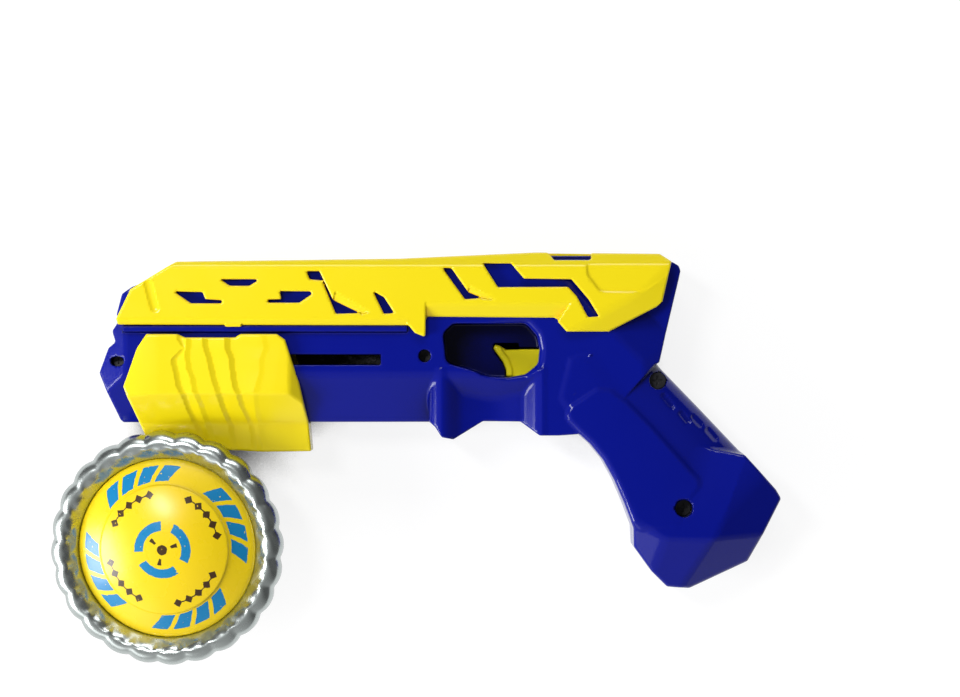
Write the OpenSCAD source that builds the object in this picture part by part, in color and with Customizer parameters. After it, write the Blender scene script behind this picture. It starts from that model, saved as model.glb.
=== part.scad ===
// Pistol-shaped launcher for spinning tops, with one top standing beside it.
// The launcher lies on its right side: X runs back from the muzzle, Y is the
// launcher's own up, and Z points out of its left side. The origin is the
// centre of the muzzle socket's mouth. Lengths are millimetres.

/* [Launcher] */
// Length from the nose tip to the heel of the grip
launcher_l = 226; // [220:1:236]
// Height from the toe of the grip to the ridge of the covers
launcher_h = 111; // [108:1:116]
// Half width over the covers, the pump and the butt
half_w = 18; // [17.8:0.1:20]
// Half width of the housing's flanks
flank_half = 15.4; // [15:0.1:15.6]
// Wall of the housing shells
wall = 2; // [1.6:0.1:2.4]
// Running gap between the pump and the housing
pump_gap = 0.4; // [0.3:0.05:0.5]

/* [Muzzle and drive] */
// Radius of the muzzle socket's bore
socket_r = 4; // [3.6:0.1:4.2]
// Depth of the muzzle socket's bore
socket_depth = 6; // [5:0.5:7]
// Wall of the muzzle socket
socket_wall = 1.4; // [1:0.1:1.6]
// Wall of the front bearing bush
bush_wall = 1.75; // [1.4:0.05:1.9]
// Stroke of the pump
pump_stroke = 36; // [30:1:36]
// Length of bar that makes one turn of the twisted drive screw
screw_lead = 24; // [20:1:30]
// Width of the twisted bar across its broad side
bar_w = 6; // [5:0.1:6.2]
// Thickness of the twisted bar
bar_t = 3.4; // [3:0.1:3.8]
// Radius of the carriage's sleeve
sleeve_r = 7.8; // [7.6:0.1:8]
// Wall of the carriage's sleeve
sleeve_wall = 1.5; // [1.2:0.1:1.7]

/* [Springs] */
// Mean radius of the pump's return spring
drive_coil_r = 4.9; // [4.6:0.1:5.2]
// Wire of the pump's return spring
drive_wire = 1; // [0.8:0.1:1.1]
// Curls of the pump's return spring
drive_curls = 16; // [12:1:18]
// Mean radius of the trigger's spring
trigger_coil_r = 2.6; // [2.2:0.1:3]
// Wire of the trigger's spring
trigger_wire = 0.7; // [0.6:0.1:0.8]
// Curls of the trigger's spring
trigger_curls = 6; // [5:1:6]

/* [Trigger and ejector] */
// Travel of the trigger
trigger_travel = 4; // [3:0.5:4]
// Width of the trigger
trigger_w = 8; // [7:0.5:9]
// Distance from the rocker's pin up to the trigger bar
upper_arm = 10; // [9:0.5:10.5]
// Distance from the rocker's pin down to the ejector
lower_arm = 6; // [5.5:0.1:6.2]
// Radius of the ejector rod
ejector_r = 1.5; // [1.2:0.1:1.6]

/* [Screws] */
// Radius of the screws' shanks
screw_r = 1.5; // [1.3:0.1:1.6]
// Height of the screws' heads
head_t = 1.6; // [1.2:0.1:2]

/* [Top] */
// Width of the top's ring, from the dome to the crest of a lobe
ring_w = 9.2; // [8:0.1:9.4]
// Lobes round the top's ring
lobes = 24; // [18:1:28]
// Radius of the top's dome
dome_r = 29.8; // [28:0.2:30]
// Rise of the dome from its edge to its crown
dome_rise = 8; // [6:0.5:9]
// Radius of the rim under the top
rim_r = 21; // [20:0.5:23]
// Reach of the tip below the rim
tip_reach = 2.6; // [2:0.1:3]
// Radius of the hub that plugs into the muzzle
hub_r = 3.9; // [3.5:0.1:3.95]

/* [Hidden] */

$fn = 48;
blue = [0.05, 0.07, 0.62];
yellow = [0.98, 0.91, 0.06];
silver = [0.78, 0.8, 0.8];
steel = [0.55, 0.56, 0.58];
natural = [0.92, 0.9, 0.84];
graphite = [0.2, 0.2, 0.22];

// overrun of every cut, and the gaps between pieces
over = 1;
fit_gap = 0.05;
loose_gap = 0.3;
slice_t = 0.4;

// places along and across the launcher, as shares of its length and height
function along(share) = share * launcher_l;
function up(share) = share * launcher_h;
function outline(shares) = [for (p = shares) [along(p[0]), up(p[1])]];

// muzzle: its mouth and its axis, measured from the nose tip
muzzle_x = 5;
axis_share = -2 / 37;
axis_y = up(axis_share);

// the launcher's outlines, as shares of its length and height from the nose tip
barrel_shares = [[0, -0.003], [0.014, 0.071], [0.025, 0.089], [0.02, 0.122], [0.028, 0.146],
    [0.027, 0.173], [0.035, 0.232], [0.05, 0.253], [0.118, 0.305], [0.44, 0.314],
    [0.64, 0.332], [0.82, 0.329], [0.839, 0.329], [0.849, 0.317], [0.852, 0.302],
    [0.82, 0.028], [0.813, 0.021], [0.76, -0.1], [0.7, -0.185], [0.673, -0.189],
    [0.645, -0.189], [0.617, -0.148], [0.562, -0.147], [0.519, -0.201], [0.502, -0.194],
    [0.492, -0.163], [0.484, -0.15], [0.033, -0.151], [0.029, -0.142]];
cover_shares = [[0.03, 0.141], [0.028, 0.158], [0.049, 0.246], [0.115, 0.328], [0.265, 0.332],
    [0.44, 0.337], [0.64, 0.356], [0.722, 0.354], [0.82, 0.352], [0.837, 0.329],
    [0.823, 0.201], [0.746, 0.12], [0.684, 0.12], [0.666, 0.161], [0.48, 0.164],
    [0.479, 0.107], [0.475, 0.106], [0.463, 0.116], [0.454, 0.138]];
window_shares = [
    [[0.112, 0.239], [0.154, 0.237], [0.158, 0.216], [0.182, 0.213], [0.182, 0.204], [0.137, 0.204]],
    [[0.179, 0.275], [0.233, 0.275], [0.233, 0.269], [0.222, 0.256], [0.194, 0.256]],
    [[0.266, 0.24], [0.311, 0.239], [0.313, 0.231], [0.295, 0.206], [0.249, 0.206],
        [0.249, 0.215], [0.269, 0.216]],
    [[0.305, 0.299], [0.324, 0.299], [0.344, 0.213], [0.383, 0.175], [0.348, 0.173],
        [0.328, 0.272], [0.31, 0.275]],
    [[0.402, 0.24], [0.418, 0.222], [0.433, 0.175], [0.418, 0.173]],
    [[0.503, 0.309], [0.516, 0.308], [0.541, 0.236], [0.561, 0.22], [0.536, 0.216]],
    [[0.562, 0.322], [0.603, 0.322], [0.622, 0.277], [0.691, 0.275], [0.716, 0.215],
        [0.731, 0.165], [0.715, 0.163], [0.699, 0.224], [0.686, 0.253], [0.584, 0.252]]];
slit_shares = [[0.651, 0.37], [0.72, 0.37], [0.72, 0.336], [0.717, 0.332], [0.666, 0.332]];
pump_shares = [[0.072, 0.113], [0.058, 0.071], [0.038, -0.043], [0.057, -0.148], [0.074, -0.229],
    [0.204, -0.236], [0.239, -0.24], [0.31, -0.238], [0.306, -0.147], [0.294, -0.032],
    [0.274, 0.096], [0.262, 0.113], [0.209, 0.113], [0.201, 0.103], [0.128, 0.103],
    [0.117, 0.113]];
// finger grooves of the pump, each a wavy line from the top edge to the bottom
groove_shares = [
    [[0.116, 0.12], [0.12, 0.071], [0.107, 0.046], [0.11, 0.012], [0.118, -0.063],
        [0.137, -0.164], [0.15, -0.25]],
    [[0.135, 0.12], [0.133, 0.04], [0.138, -0.063], [0.157, -0.171], [0.17, -0.25]],
    [[0.153, 0.12], [0.16, 0.036], [0.169, -0.039], [0.177, -0.083], [0.188, -0.176], [0.198, -0.25]],
    [[0.186, 0.12], [0.192, 0.028], [0.2, -0.051], [0.208, -0.092], [0.22, -0.179], [0.23, -0.25]]];
// cross sections of the grip: front point, back point, half width as a share of the flanks'
grip_shares = [[[0.665, -0.1], [0.827, -0.005], 0.985],
    [[0.7, -0.185], [0.845, -0.044], 1.06],
    [[0.73, -0.238], [0.87, -0.099], 1.04],
    [[0.757, -0.318], [0.903, -0.171], 0.99],
    [[0.774, -0.399], [0.94, -0.253], 0.98],
    [[0.78, -0.446], [0.972, -0.321], 1.02]];
butt_shares = [[0.78, -0.446], [0.78, -0.526], [0.8, -0.583], [0.833, -0.64], [0.863, -0.649],
    [0.949, -0.563], [1, -0.392], [0.994, -0.371], [0.955, -0.29]];
butt_face_shares = [[0.785, -0.435], [0.8, -0.452], [0.821, -0.488], [0.857, -0.503],
    [0.899, -0.488], [0.99, -0.43], [0.99, -0.375], [0.955, -0.3]];
butt_edge_share = 0.58;
butt_edge = half_w * butt_edge_share;
// how square the grip's section is: 1 would be an ellipse
grip_round_share = 0.62;
// wells over the housing screws: place as shares, radius, depth of the seat as a share of the flanks
well_places_share = [[0.028, 0.032], [0.477, 0.048], [0.818, -0.026], [0.855, -0.405]];
well_r = [2, 2, 2.8, 2.8];
well_seat_share = [0.45, 0.45, 0.5, 0.5];
dimple_shares = [[0.831, -0.089], [0.86, -0.155], [0.889, -0.205], [0.902, -0.244]];
dimple_r = 3;

// side ridge, where the flank turns into the lower band
ridge_y = up(-0.009);
band_foot_y = up(-0.15);
band_foot_share = 0.42;
band_foot_z = flank_half * band_foot_share;
nose_taper = along(0.04);
rear_taper = along(0.055);
end_share = 0.7;
end_half = flank_half * end_share;
barrel_end = along(0.852);
keel_y = up(-0.21);
ridge_r = 4.6;
ridge_x = [along(0.503), along(0.646)];
strap_share = 0.78;
strap_half = flank_half * strap_share;
// ledge that the covers sit on: its two corners on the flank
ledge_shares = [[0.036, 0.1175], [0.452, 0.138]];
ledge = outline(ledge_shares);
ledge_t = 1;

// inner places
nose_wall_x = 12;
chamber_end_x = along(0.452);
chamber_foot_y = axis_y - sleeve_r - 2 * loose_gap;
chamber_top_y = up(0.284);
// rooms behind the trigger and in the grip
spring_room_share = [0.65, -0.05];
grip_room_place_share = [0.822, -0.175];
grip_room_share = [[-0.05, -0.03], [0.09, 0.03]];
grip_room_turn = -50;
front_top_y = up(0.215);
bush_sunk = 1;
bush_l = 7;
bush_front = muzzle_x + bush_sunk;
bush_back = bush_front + bush_l;
bush_r = socket_r + socket_wall + fit_gap + bush_wall;
socket_floor_t = 4;
socket_back = muzzle_x + socket_depth + socket_floor_t;
tip_pocket_r = 2.3;
tip_pocket_depth = 2.8;
dog_h = 1.5;
dog_w = 1.5;
dog_relief = 0.3;

// pump: the lugs ride in a slot through both flanks
lug_y = up(0.0365);
lug_h = 3.2;
lug_l = 12;
lug_reach = (half_w + flank_half) / 2 + fit_gap;
slot_end_x = along(0.413);
lug_x = slot_end_x - pump_stroke - loose_gap - lug_l;
nut_l = 7;
nut_room = 6;
nut_x = socket_back + nut_room;
nut_r = 5.5;
sleeve_back_x = lug_x + lug_l;
rear_bush_t = 5;
rear_bush_r = 6.5;
rear_bush_sunk = 2;
rear_bush_x = chamber_end_x - rear_bush_t + rear_bush_sunk;
stem_r = 2;

// trigger opening, sunk from both flanks to a thin web in the middle
opening_shares = [[0.506, 0.116], [0.519, 0.142], [0.625, 0.142], [0.64, 0.107], [0.644, 0.065],
    [0.641, 0.024], [0.625, -0.005], [0.6, -0.016], [0.57, -0.014], [0.54, 0.008], [0.508, 0.027]];
web_half = 1;
// way of the trigger through the web, clear of its front edge and as long as its travel
trigger_tip_share = [0.596, 0.084];
trigger_way_shares = [[0.5765, 0.07], [0.5785, 0.084], [0.596, 0.084], [0.6, 0.071], [0.66, 0.071],
    [0.66, -0.018], [0.5955, -0.018], [0.595, 0.006], [0.5905, 0.029], [0.5815, 0.054]];
trigger_shares = [[0.58, 0.081], [0.589, 0.076], [0.596, 0.066], [0.622, 0.068], [0.672, 0.068],
    [0.672, -0.012], [0.612, -0.015], [0.597, -0.014], [0.5965, 0.006], [0.592, 0.03],
    [0.583, 0.055], [0.578, 0.07]];
trigger_back_x = along(0.672);
trigger_gap = 0.3;
trigger_tip_h = 3;
bar_drop = 4;
bar_y = chamber_top_y - bar_drop;
bar_h = 5.2;
bar_half = 2.4;
leg_l = 6;
ejector_y = bar_y - upper_arm - lower_arm;
rocker_y = bar_y - upper_arm;
rocker_x = 27;
rocker_tip_r = 1.5;
rocker_slack = 0.4;
arm_half = 0.8;
rocker_t = 2.4;
rocker_hub_r = 3;
yoke_half_l = 4.6;
yoke_lip = 1.9;
yoke_web = 1.4;
leg_foot_y = up(-0.01);
ejector_front_x = along(0.0275);
trigger_spring_y = up(0.028);
chamber_back_x = trigger_back_x + leg_l + trigger_travel + trigger_curls * trigger_wire + 2 * loose_gap;
chamber_half = flank_half - wall - over;

// foot of the pump, which the top lies against
strip_foot_y = up(-0.24);

// top: it lies on its tip and one point of its rim, just clear of the pump
top_r = dome_r + ring_w;
lean = atan(tip_reach / rim_r);
lean_dir = 212.7;
flare_in = 0.3;
flare_r = dome_r - flare_in;
top_gap = 0.26;
top_x = 25.3;
top_y = strip_foot_y - flare_r - top_gap;
base_h = 24;
flare_share = 0.85;
land_t = 1.6;
ring_z = base_h + land_t;
ring_t = 7.4;
ring_slope_share = 0.45;
dome_sunk = 5;
dome_z = base_h + dome_sunk;
lobe_r = 9;
crest_w = 3.6;
bead_r = 2;
tip_r = 1.8;
hub_h = 9;
hub_root_z = tip_reach + hub_h;
rim_w = 4;
recess_r = rim_r - rim_w;
base_wall = 2.2;
top_screw_r = 1.2;
top_head_r = 2.3;
wheel_wall = 4.5;
wheel_w = 9;
wheel_out = flare_r - wheel_wall;
wheel_in = wheel_out - wheel_w;
top_screw_in = 3;
top_screw_place = wheel_in - top_screw_in;
wheel_h = 5;
wheel_z = 14;
step_share = 0.72;
dome_step = 0.7;
dome_wall = 2;

module from_muzzle() {
    translate([-muzzle_x, -axis_y, 0])
        children();
}

// plate with the given outline, from one depth to another
module plate(shares, low, high) {
    translate([0, 0, low])
        linear_extrude(high - low)
            polygon(outline(shares));
}

// rod along X on a given height
module rod_x(from_x, to_x, y, r) {
    translate([from_x, y, 0])
        rotate([0, 90, 0])
            cylinder(h = to_x - from_x, r = r);
}

// block from one corner to the other
module block(low, high) {
    translate(low)
        cube(high - low);
}

// profile across the barrel, drawn as [height, depth], run along X
module along_barrel(profile, from_x, to_x) {
    translate([from_x, 0, 0])
        rotate([90, 0, 90])
            linear_extrude(to_x - from_x)
                polygon(profile);
}

// one half slice of the grip between a front and a back point
module grip_slice(section) {
    front = [along(section[0][0]), up(section[0][1])];
    back = [along(section[1][0]), up(section[1][1])];
    middle = (front + back) / 2;
    reach = norm(back - front) / 2;
    deep = section[2] * flank_half;
    translate([middle[0], middle[1], 0])
        rotate([90, 0, atan2(back[1] - front[1], back[0] - front[0])])
            linear_extrude(slice_t)
                polygon([for (a = [0:15:180]) [reach * cos(a), deep * pow(sin(a), grip_round_share)]]);
}

module grip_body() {
    for (i = [0:len(grip_shares) - 2])
        hull() {
            grip_slice(grip_shares[i]);
            grip_slice(grip_shares[i + 1]);
        }
    hull() {
        plate(butt_shares, 0, butt_edge);
        plate(butt_face_shares, 0, half_w);
    }
}

// the barrel's cross section: flat flank above, slanting band below
module barrel_body() {
    intersection() {
        plate(barrel_shares, 0, flank_half + over);
        union() {
            along_barrel([[keel_y, 0], [keel_y, band_foot_z], [band_foot_y, band_foot_z],
                [ridge_y, flank_half], [launcher_h, flank_half], [launcher_h, 0]], 0, barrel_end);
            block([ridge_x[0], keel_y, 0], [ridge_x[1], ridge_y + over, strap_half]);
            block([ridge_x[1], keel_y, 0], [barrel_end, ridge_y + over, flank_half]);
            for (x = ridge_x)
                translate([x, keel_y, flank_half - ridge_r])
                    rotate([-90, 0, 0])
                        cylinder(h = ridge_y - keel_y - over, r = ridge_r);
        }
        translate([0, launcher_h, 0])
            rotate([90, 0, 0])
                linear_extrude(launcher_h * 2)
                    polygon([[0, 0], [0, end_half], [nose_taper, flank_half],
                        [barrel_end - rear_taper, flank_half], [barrel_end, end_half], [barrel_end, 0]]);
    }
}

module cover_ledge() {
    block([ledge[0][0], ledge[0][1], flank_half - over], [ledge[1][0], ledge[1][1], flank_half + ledge_t]);
}

module chambers() {
    inner = flank_half - wall;
    along_barrel([[chamber_foot_y, -over], [chamber_foot_y, band_foot_z - wall / 2], [ridge_y, inner],
        [front_top_y, inner], [front_top_y, -over]], nose_wall_x, chamber_end_x);
    block([rocker_x - yoke_half_l - wall, front_top_y - over, -over],
        [chamber_end_x, chamber_top_y, chamber_half]);
    block([chamber_end_x - over, bar_y - bar_h / 2 - over, -over],
        [trigger_back_x, chamber_top_y, bar_half + over]);
    block([along(spring_room_share[0]), up(spring_room_share[1]), -over],
        [chamber_back_x, chamber_top_y, chamber_half]);
    translate([along(grip_room_place_share[0]), up(grip_room_place_share[1]), 0])
        rotate([0, 0, grip_room_turn])
            block([along(grip_room_share[0][0]), along(grip_room_share[0][1]), -over],
                [along(grip_room_share[1][0]), along(grip_room_share[1][1]), chamber_half]);
}

module housing_half(seat_side) {
    difference() {
        union() {
            barrel_body();
            grip_body();
            cover_ledge();
        }
        difference() {
            chambers();
            for (i = [0:len(well_r) - 1])
                translate([along(well_places_share[i][0]), up(well_places_share[i][1]), -over])
                    cylinder(h = half_w, r = well_r[i] + wall);
        }
        // slot for the pump's lugs
        block([lug_x - loose_gap, lug_y - lug_h / 2 - fit_gap * 2, 0],
            [slot_end_x, lug_y + lug_h / 2 + fit_gap * 2, half_w]);
        // finger opening, and the trigger's way through its web and back wall
        plate(opening_shares, web_half, half_w);
        plate(trigger_way_shares, -over, trigger_w / 2 + trigger_gap);
        block([along(trigger_tip_share[0]) - over, up(trigger_tip_share[1]) - trigger_tip_h, -over],
            [along(trigger_tip_share[0]) + trigger_travel, up(trigger_tip_share[1]), trigger_w / 2 + trigger_gap]);
        // nose: seat of the bush and hole of the ejector
        rod_x(-over, bush_back, axis_y, bush_r);
        rod_x(bush_back - over, nose_wall_x + over, axis_y, socket_r + socket_wall + loose_gap);
        rod_x(-over, nose_wall_x + over, ejector_y, ejector_r + fit_gap);
        rod_x(chamber_end_x - over, chamber_end_x + rear_bush_sunk, axis_y, rear_bush_r);
        for (p = dimple_shares)
            translate([along(p[0]), up(p[1]), flank_half])
                sphere(dimple_r);
        // screw wells on the left, pilot holes on the right
        for (i = [0:len(well_r) - 1])
            translate([along(well_places_share[i][0]), up(well_places_share[i][1]), 0]) {
                translate([0, 0, -over])
                    cylinder(h = seat_side ? half_w : flank_half * well_seat_share[i] + over, r = screw_r + fit_gap);
                if (seat_side)
                    translate([0, 0, flank_half * well_seat_share[i]])
                        cylinder(h = half_w, r = well_r[i]);
            }
    }
}

module left_housing() {
    color(blue)
        from_muzzle()
            housing_half(true);
}

module right_housing() {
    color(blue)
        from_muzzle()
            mirror([0, 0, 1])
                housing_half(false);
}

// heights and depths of the covers' section: shoulder at the top, bevel along the foot
shoulder_share = [[0.315, 1], [0.36, 0.74]];
foot_bevel_share = [[0.15, 0.865], [0.201, 1]];
foot_bevel_x = [along(0.479), along(0.668)];
slit_depth_share = 0.45;

// cover half: a windowed side plate that folds over the top of the housing
module cover_half() {
    difference() {
        intersection() {
            plate(cover_shares, 0, half_w);
            along_barrel([[0, 0], [0, half_w], [up(shoulder_share[0][0]), half_w * shoulder_share[0][1]],
                [up(shoulder_share[1][0]), half_w * shoulder_share[1][1]],
                [up(shoulder_share[1][0]), 0]], 0, launcher_l);
        }
        plate(barrel_shares, -over, flank_half);
        block([ledge[0][0] - over, ledge[0][1] - over, 0],
            [ledge[1][0] + loose_gap, ledge[1][1] + 2 * fit_gap, flank_half + ledge_t + fit_gap]);
        for (w = window_shares)
            plate(w, flank_half - over, half_w + over);
        plate(slit_shares, half_w * slit_depth_share, half_w + over);
        along_barrel([[up(foot_bevel_share[0][0]), half_w * foot_bevel_share[0][1]],
            [up(foot_bevel_share[1][0]), half_w * foot_bevel_share[1][1]],
            [up(foot_bevel_share[1][0]), half_w + over],
            [up(foot_bevel_share[0][0]), half_w + over]], foot_bevel_x[0], foot_bevel_x[1]);
    }
}

module left_cover() {
    color(yellow)
        from_muzzle()
            cover_half();
}

module right_cover() {
    color(yellow)
        from_muzzle()
            mirror([0, 0, 1])
                cover_half();
}

// cross recess of a screw's head: its arms' reach and half width, as shares of the head
cross_share = [0.6, 0.13];

module screw(shank_r, head_r, head_z, foot_z) {
    translate([0, 0, foot_z])
        cylinder(h = head_z - foot_z, r = shank_r);
    difference() {
        translate([0, 0, head_z])
            cylinder(h = head_t, r = head_r);
        for (turn = [0, 90])
            rotate([0, 0, turn])
                translate([-head_r * cross_share[0], -head_r * cross_share[1], head_z + head_t / 2])
                    cube([2 * head_r * cross_share[0], 2 * head_r * cross_share[1], head_t]);
    }
}

module housing_screws() {
    color(steel)
        from_muzzle()
            for (i = [0:len(well_r) - 1])
                translate([along(well_places_share[i][0]), up(well_places_share[i][1]), 0])
                    screw(screw_r, well_r[i] - fit_gap * 2, flank_half * well_seat_share[i],
                        -flank_half * well_seat_share[i] + fit_gap);
}

module front_bearing() {
    color(natural)
        from_muzzle()
            difference() {
                rod_x(bush_front, bush_back, axis_y, bush_r);
                rod_x(bush_front - over, bush_back + over, axis_y, socket_r + socket_wall + fit_gap);
            }
}

module rear_bearing() {
    color(natural)
        from_muzzle()
            difference() {
                rod_x(rear_bush_x, rear_bush_x + rear_bush_t, axis_y, rear_bush_r);
                rod_x(rear_bush_x - over, rear_bush_x + rear_bush_t + over, axis_y, stem_r + fit_gap);
            }
}

module rocker_pin() {
    color(steel)
        from_muzzle()
            translate([rocker_x, rocker_y, -flank_half + wall])
                cylinder(h = 2 * (flank_half - wall), r = screw_r);
}

// one unbroken wire: points run up a helix whose pitch closes at both ends
function coil_point(t, curls, coil_r, length, wire) =
    let (lie = wire * 0.5 / length, s = lie + (1 - 2 * lie) * t)
    [coil_r * cos(360 * curls * t), coil_r * sin(360 * curls * t), s * length];

module coil(curls, coil_r, length, wire) {
    rings_per_curl = 8;
    sides = 6;
    count = curls * rings_per_curl;
    points = [for (i = [0:count]) coil_point(i / count, curls, coil_r, length, wire)];
    rise = (length - wire) / curls;
    echo(least_gap = rise - wire);
    slope = atan(rise / (2 * PI * coil_r));
    rings = [for (i = [0:count])
        let (turn = 360 * i / rings_per_curl,
            out = [cos(turn), sin(turn), 0],
            side = [sin(turn) * sin(slope), -cos(turn) * sin(slope), cos(slope)])
        for (k = [0:sides - 1])
            points[i] + wire / 2 * (cos(360 * k / sides) * out + sin(360 * k / sides) * side)];
    skin = [for (i = [0:count - 1], k = [0:sides - 1])
        let (a = i * sides + k, b = i * sides + (k + 1) % sides)
        each [[a, a + sides, b], [b, a + sides, b + sides]]];
    first_cap = [for (k = [1:sides - 2]) [0, k, k + 1]];
    last_cap = [for (k = [1:sides - 2])
        [count * sides, count * sides + k + 1, count * sides + k]];
    polyhedron(rings, concat(skin, first_cap, last_cap));
}

spring_front_x = nut_x + nut_l;
module drive_spring() {
    color(steel)
        from_muzzle()
            translate([spring_front_x, axis_y, 0])
                rotate([0, 90, 0])
                    coil(drive_curls, drive_coil_r, rear_bush_x - spring_front_x, drive_wire);
}

module trigger_spring() {
    color(steel)
        from_muzzle()
            translate([trigger_back_x + leg_l, trigger_spring_y, 0])
                rotate([0, 90, 0])
                    coil(trigger_curls, trigger_coil_r, chamber_back_x - trigger_back_x - leg_l, trigger_wire);
}

// line of the given width through a list of points, drawn as one outline
function unit(v) = v / norm(v);
function side_of(v) = [-v[1], v[0]];
function corner_side(points, i) =
    let (last = len(points) - 1,
        before = unit(points[max(i, 1)] - points[max(i, 1) - 1]),
        after = unit(points[min(i, last - 1) + 1] - points[min(i, last - 1)]),
        mean = unit(before + after))
    side_of(mean) / (mean * before);

module wavy_line(shares, width) {
    points = outline(shares);
    ends = [0:len(points) - 1];
    polygon(concat([for (i = ends) points[i] + corner_side(points, i) * width / 2],
        [for (i = ends) points[len(points) - 1 - i]
            - corner_side(points, len(points) - 1 - i) * width / 2]));
}

groove_w = 1.6;
groove_depth = 0.8;
strip_top_y = band_foot_y - pump_gap;
pump_band_y = up(-0.066);
strip_foot_share = 0.33;
strip_top_share = 0.46;
// the pump seen from above: places along the launcher and half widths
pump_plan_shares = [[0.03, 0], [0.03, 0.7], [0.07, 1], [0.275, 1], [0.315, 0.75], [0.315, 0]];

module pump_half() {
    difference() {
        intersection() {
            plate(pump_shares, 0, half_w);
            along_barrel([[strip_foot_y - over, 0], [strip_foot_y - over, half_w * strip_foot_share],
                [strip_top_y, half_w * strip_top_share], [pump_band_y, half_w],
                [launcher_h, half_w], [launcher_h, 0]], 0, launcher_l);
            translate([0, launcher_h, 0])
                rotate([90, 0, 0])
                    linear_extrude(launcher_h * 2)
                        polygon([for (p = pump_plan_shares) [along(p[0]), half_w * p[1]]]);
        }
        // the barrel's own section with the running gap all round
        along_barrel([[strip_top_y, -over], [strip_top_y, band_foot_z + pump_gap],
            [ridge_y, flank_half + pump_gap], [launcher_h, flank_half + pump_gap],
            [launcher_h, -over]], 0, launcher_l);
        // finger grooves, shallow on the flank and on the slanting band
        for (g = groove_shares) {
            intersection() {
                translate([0, 0, half_w - groove_depth])
                    linear_extrude(over + groove_depth)
                        wavy_line(g, groove_w);
                block([0, pump_band_y - over, 0], [launcher_l, launcher_h, half_w + over]);
            }
        }
        // pocket of the lug
        block([lug_x - fit_gap, lug_y - lug_h / 2 - fit_gap, 0],
            [lug_x + lug_l + fit_gap, lug_y + lug_h / 2 + fit_gap, lug_reach + fit_gap]);
    }
}

pump_screw_places_share = [[0.106, -0.194], [0.265, -0.194]];
pump_seat = 4;
pump_head_r = 2.3;
pump_pilot = 4.5;

module left_pump_grip() {
    color(yellow)
        from_muzzle()
            difference() {
                pump_half();
                for (p = pump_screw_places_share)
                    translate([along(p[0]), up(p[1]), -over])
                        cylinder(h = pump_pilot + over, r = screw_r + fit_gap);
            }
}

module right_pump_grip() {
    color(yellow)
        from_muzzle()
            mirror([0, 0, 1])
                difference() {
                    pump_half();
                    for (p = pump_screw_places_share)
                        translate([along(p[0]), up(p[1]), -over]) {
                            cylinder(h = half_w, r = screw_r + fit_gap);
                            translate([0, 0, pump_seat + over])
                                cylinder(h = half_w, r = pump_head_r + fit_gap);
                        }
                }
}

module pump_screws() {
    color(steel)
        from_muzzle()
            mirror([0, 0, 1])
                for (p = pump_screw_places_share)
                    translate([along(p[0]), up(p[1]), 0])
                        screw(screw_r, pump_head_r, pump_seat, -pump_pilot + fit_gap);
}

// carriage: a sleeve round the spring, with a bridge up to the two lugs
module pump_carriage() {
    color(natural)
        from_muzzle()
            difference() {
                union() {
                    rod_x(nut_x, sleeve_back_x, axis_y, sleeve_r);
                    block([lug_x, axis_y, -wall], [lug_x + lug_l, lug_y + lug_h / 2, wall]);
                    block([lug_x, lug_y - lug_h / 2, -lug_reach], [lug_x + lug_l, lug_y + lug_h / 2, lug_reach]);
                }
                rod_x(nut_x + nut_l, sleeve_back_x + over, axis_y, sleeve_r - sleeve_wall);
                rod_x(nut_x - over, nut_x + nut_l + over, axis_y, nut_r);
            }
}

module bar_section(grow) {
    square([bar_w + 2 * grow, bar_t + 2 * grow], center = true);
}

// twisted bar in whole steps of its twist, counted from the nut's front face
module twisted_bar(first_step, steps, grow) {
    step_l = screw_lead / steps_per_turn;
    translate([nut_x + first_step * step_l, axis_y, 0])
        rotate([0, 90, 0])
            rotate([0, 0, 360 * first_step / steps_per_turn])
                linear_extrude(steps * step_l, twist = -360 * steps / steps_per_turn,
                    slices = steps, segments = 8)
                    bar_section(grow);
}

module drive_nut() {
    color(graphite)
        from_muzzle()
            difference() {
                rod_x(nut_x, nut_x + nut_l, axis_y, nut_r);
                twisted_bar(-1, nut_steps + 2, nut_play);
            }
}

steps_per_turn = 16;
nut_play = 0.25;
nut_steps = ceil(nut_l / screw_lead * steps_per_turn);
twist_steps = ceil((pump_stroke + nut_l) / screw_lead * steps_per_turn) + 2;
twist_front_x = nut_x - screw_lead / steps_per_turn;
twist_back_x = twist_front_x + twist_steps * screw_lead / steps_per_turn;
stem_plug = 2;

module drive_screw() {
    color(steel)
        from_muzzle() {
            twisted_bar(-1, twist_steps, 0);
            rod_x(socket_back - stem_plug, twist_front_x + fit_gap, axis_y, stem_r);
            rod_x(twist_back_x - fit_gap, rear_bush_x + rear_bush_t - loose_gap, axis_y, stem_r);
        }
}

module muzzle_socket() {
    color(natural)
        from_muzzle()
            difference() {
                union() {
                    difference() {
                        rod_x(muzzle_x, socket_back, axis_y, socket_r + socket_wall);
                        rod_x(muzzle_x - over, muzzle_x + socket_depth, axis_y, socket_r);
                        rod_x(muzzle_x + socket_depth - dog_h - dog_relief, muzzle_x + socket_depth,
                            axis_y, socket_r + dog_relief);
                    }
                    // dogs that turn the top's hub, in a relief behind the bore
                    block([muzzle_x + socket_depth - dog_h, axis_y - dog_w / 2, -socket_r - socket_wall / 2],
                        [muzzle_x + socket_depth + over, axis_y + dog_w / 2, socket_r + socket_wall / 2]);
                }
                rod_x(muzzle_x, muzzle_x + socket_depth + tip_pocket_depth - over, axis_y, tip_pocket_r);
                rod_x(socket_back - stem_plug, socket_back + over, axis_y, stem_r);
            }
}

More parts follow.
